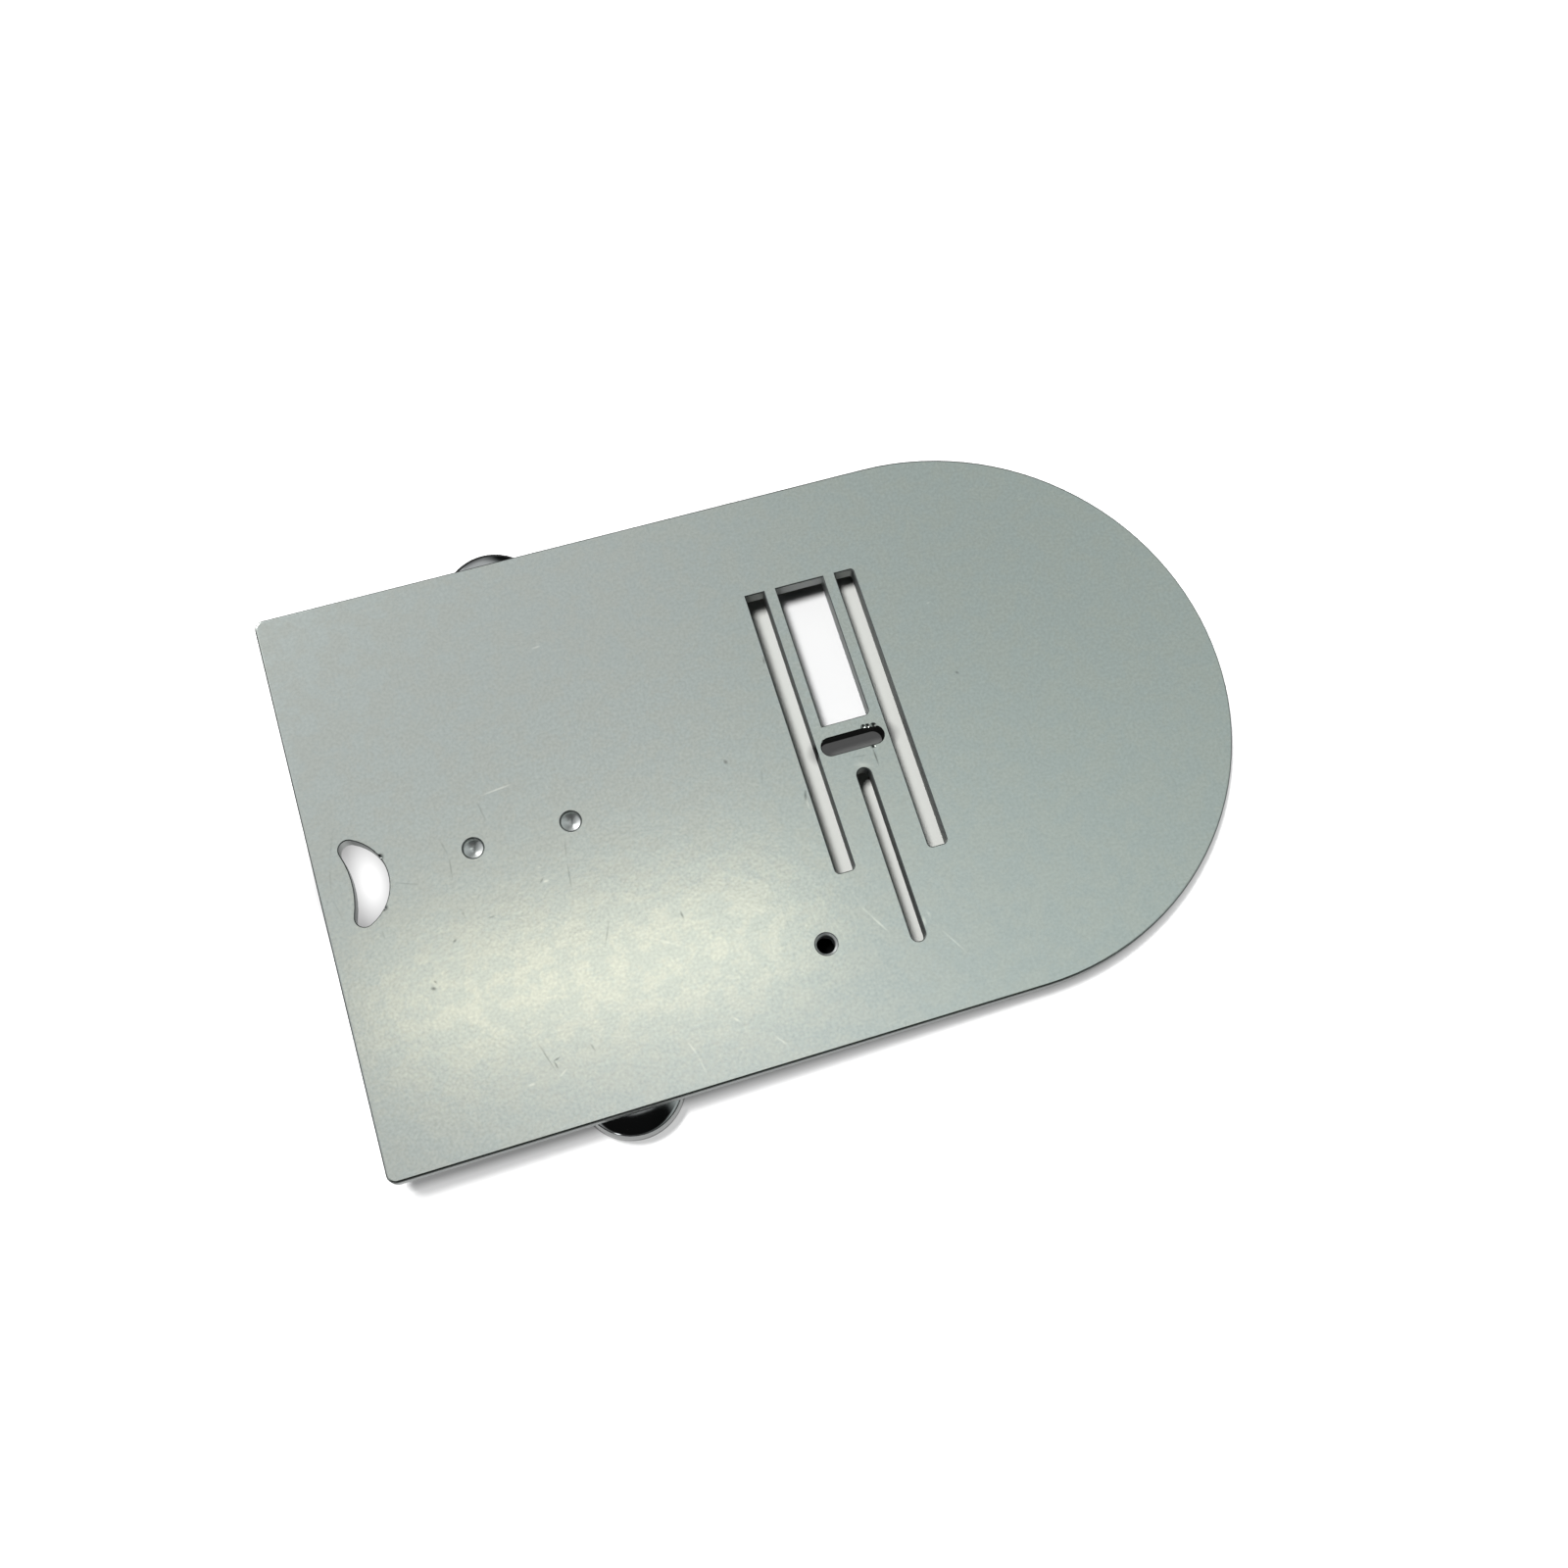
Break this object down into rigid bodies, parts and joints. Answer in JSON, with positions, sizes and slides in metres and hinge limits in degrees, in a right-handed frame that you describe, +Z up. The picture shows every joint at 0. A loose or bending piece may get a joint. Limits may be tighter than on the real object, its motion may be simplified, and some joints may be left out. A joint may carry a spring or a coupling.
{
  "type": "sewing machine needle plate",
  "caption": "Flat steel needle plate with a half-round end, slots for the needle and feed teeth, a tapped guide hole and round studs under its long edges.",
  "frame": {"origin": "under the middle of the plate, level with the bottom of the studs", "axes": "+X along the plate from its straight end to its round end, +Y from the user's side to the rear, +Z up through the top face"},
  "size_m": [0.0988, 0.0658, 0.0054],
  "materials": {
    "plate_steel": "satin, ground and plated",
    "stud_steel": "turned and polished"
  },
  "bodies": {
    "root": {"plate": "plate_steel", "front_stud": "stud_steel", "rear_stud": "stud_steel"}
  },
  "joints": []
}
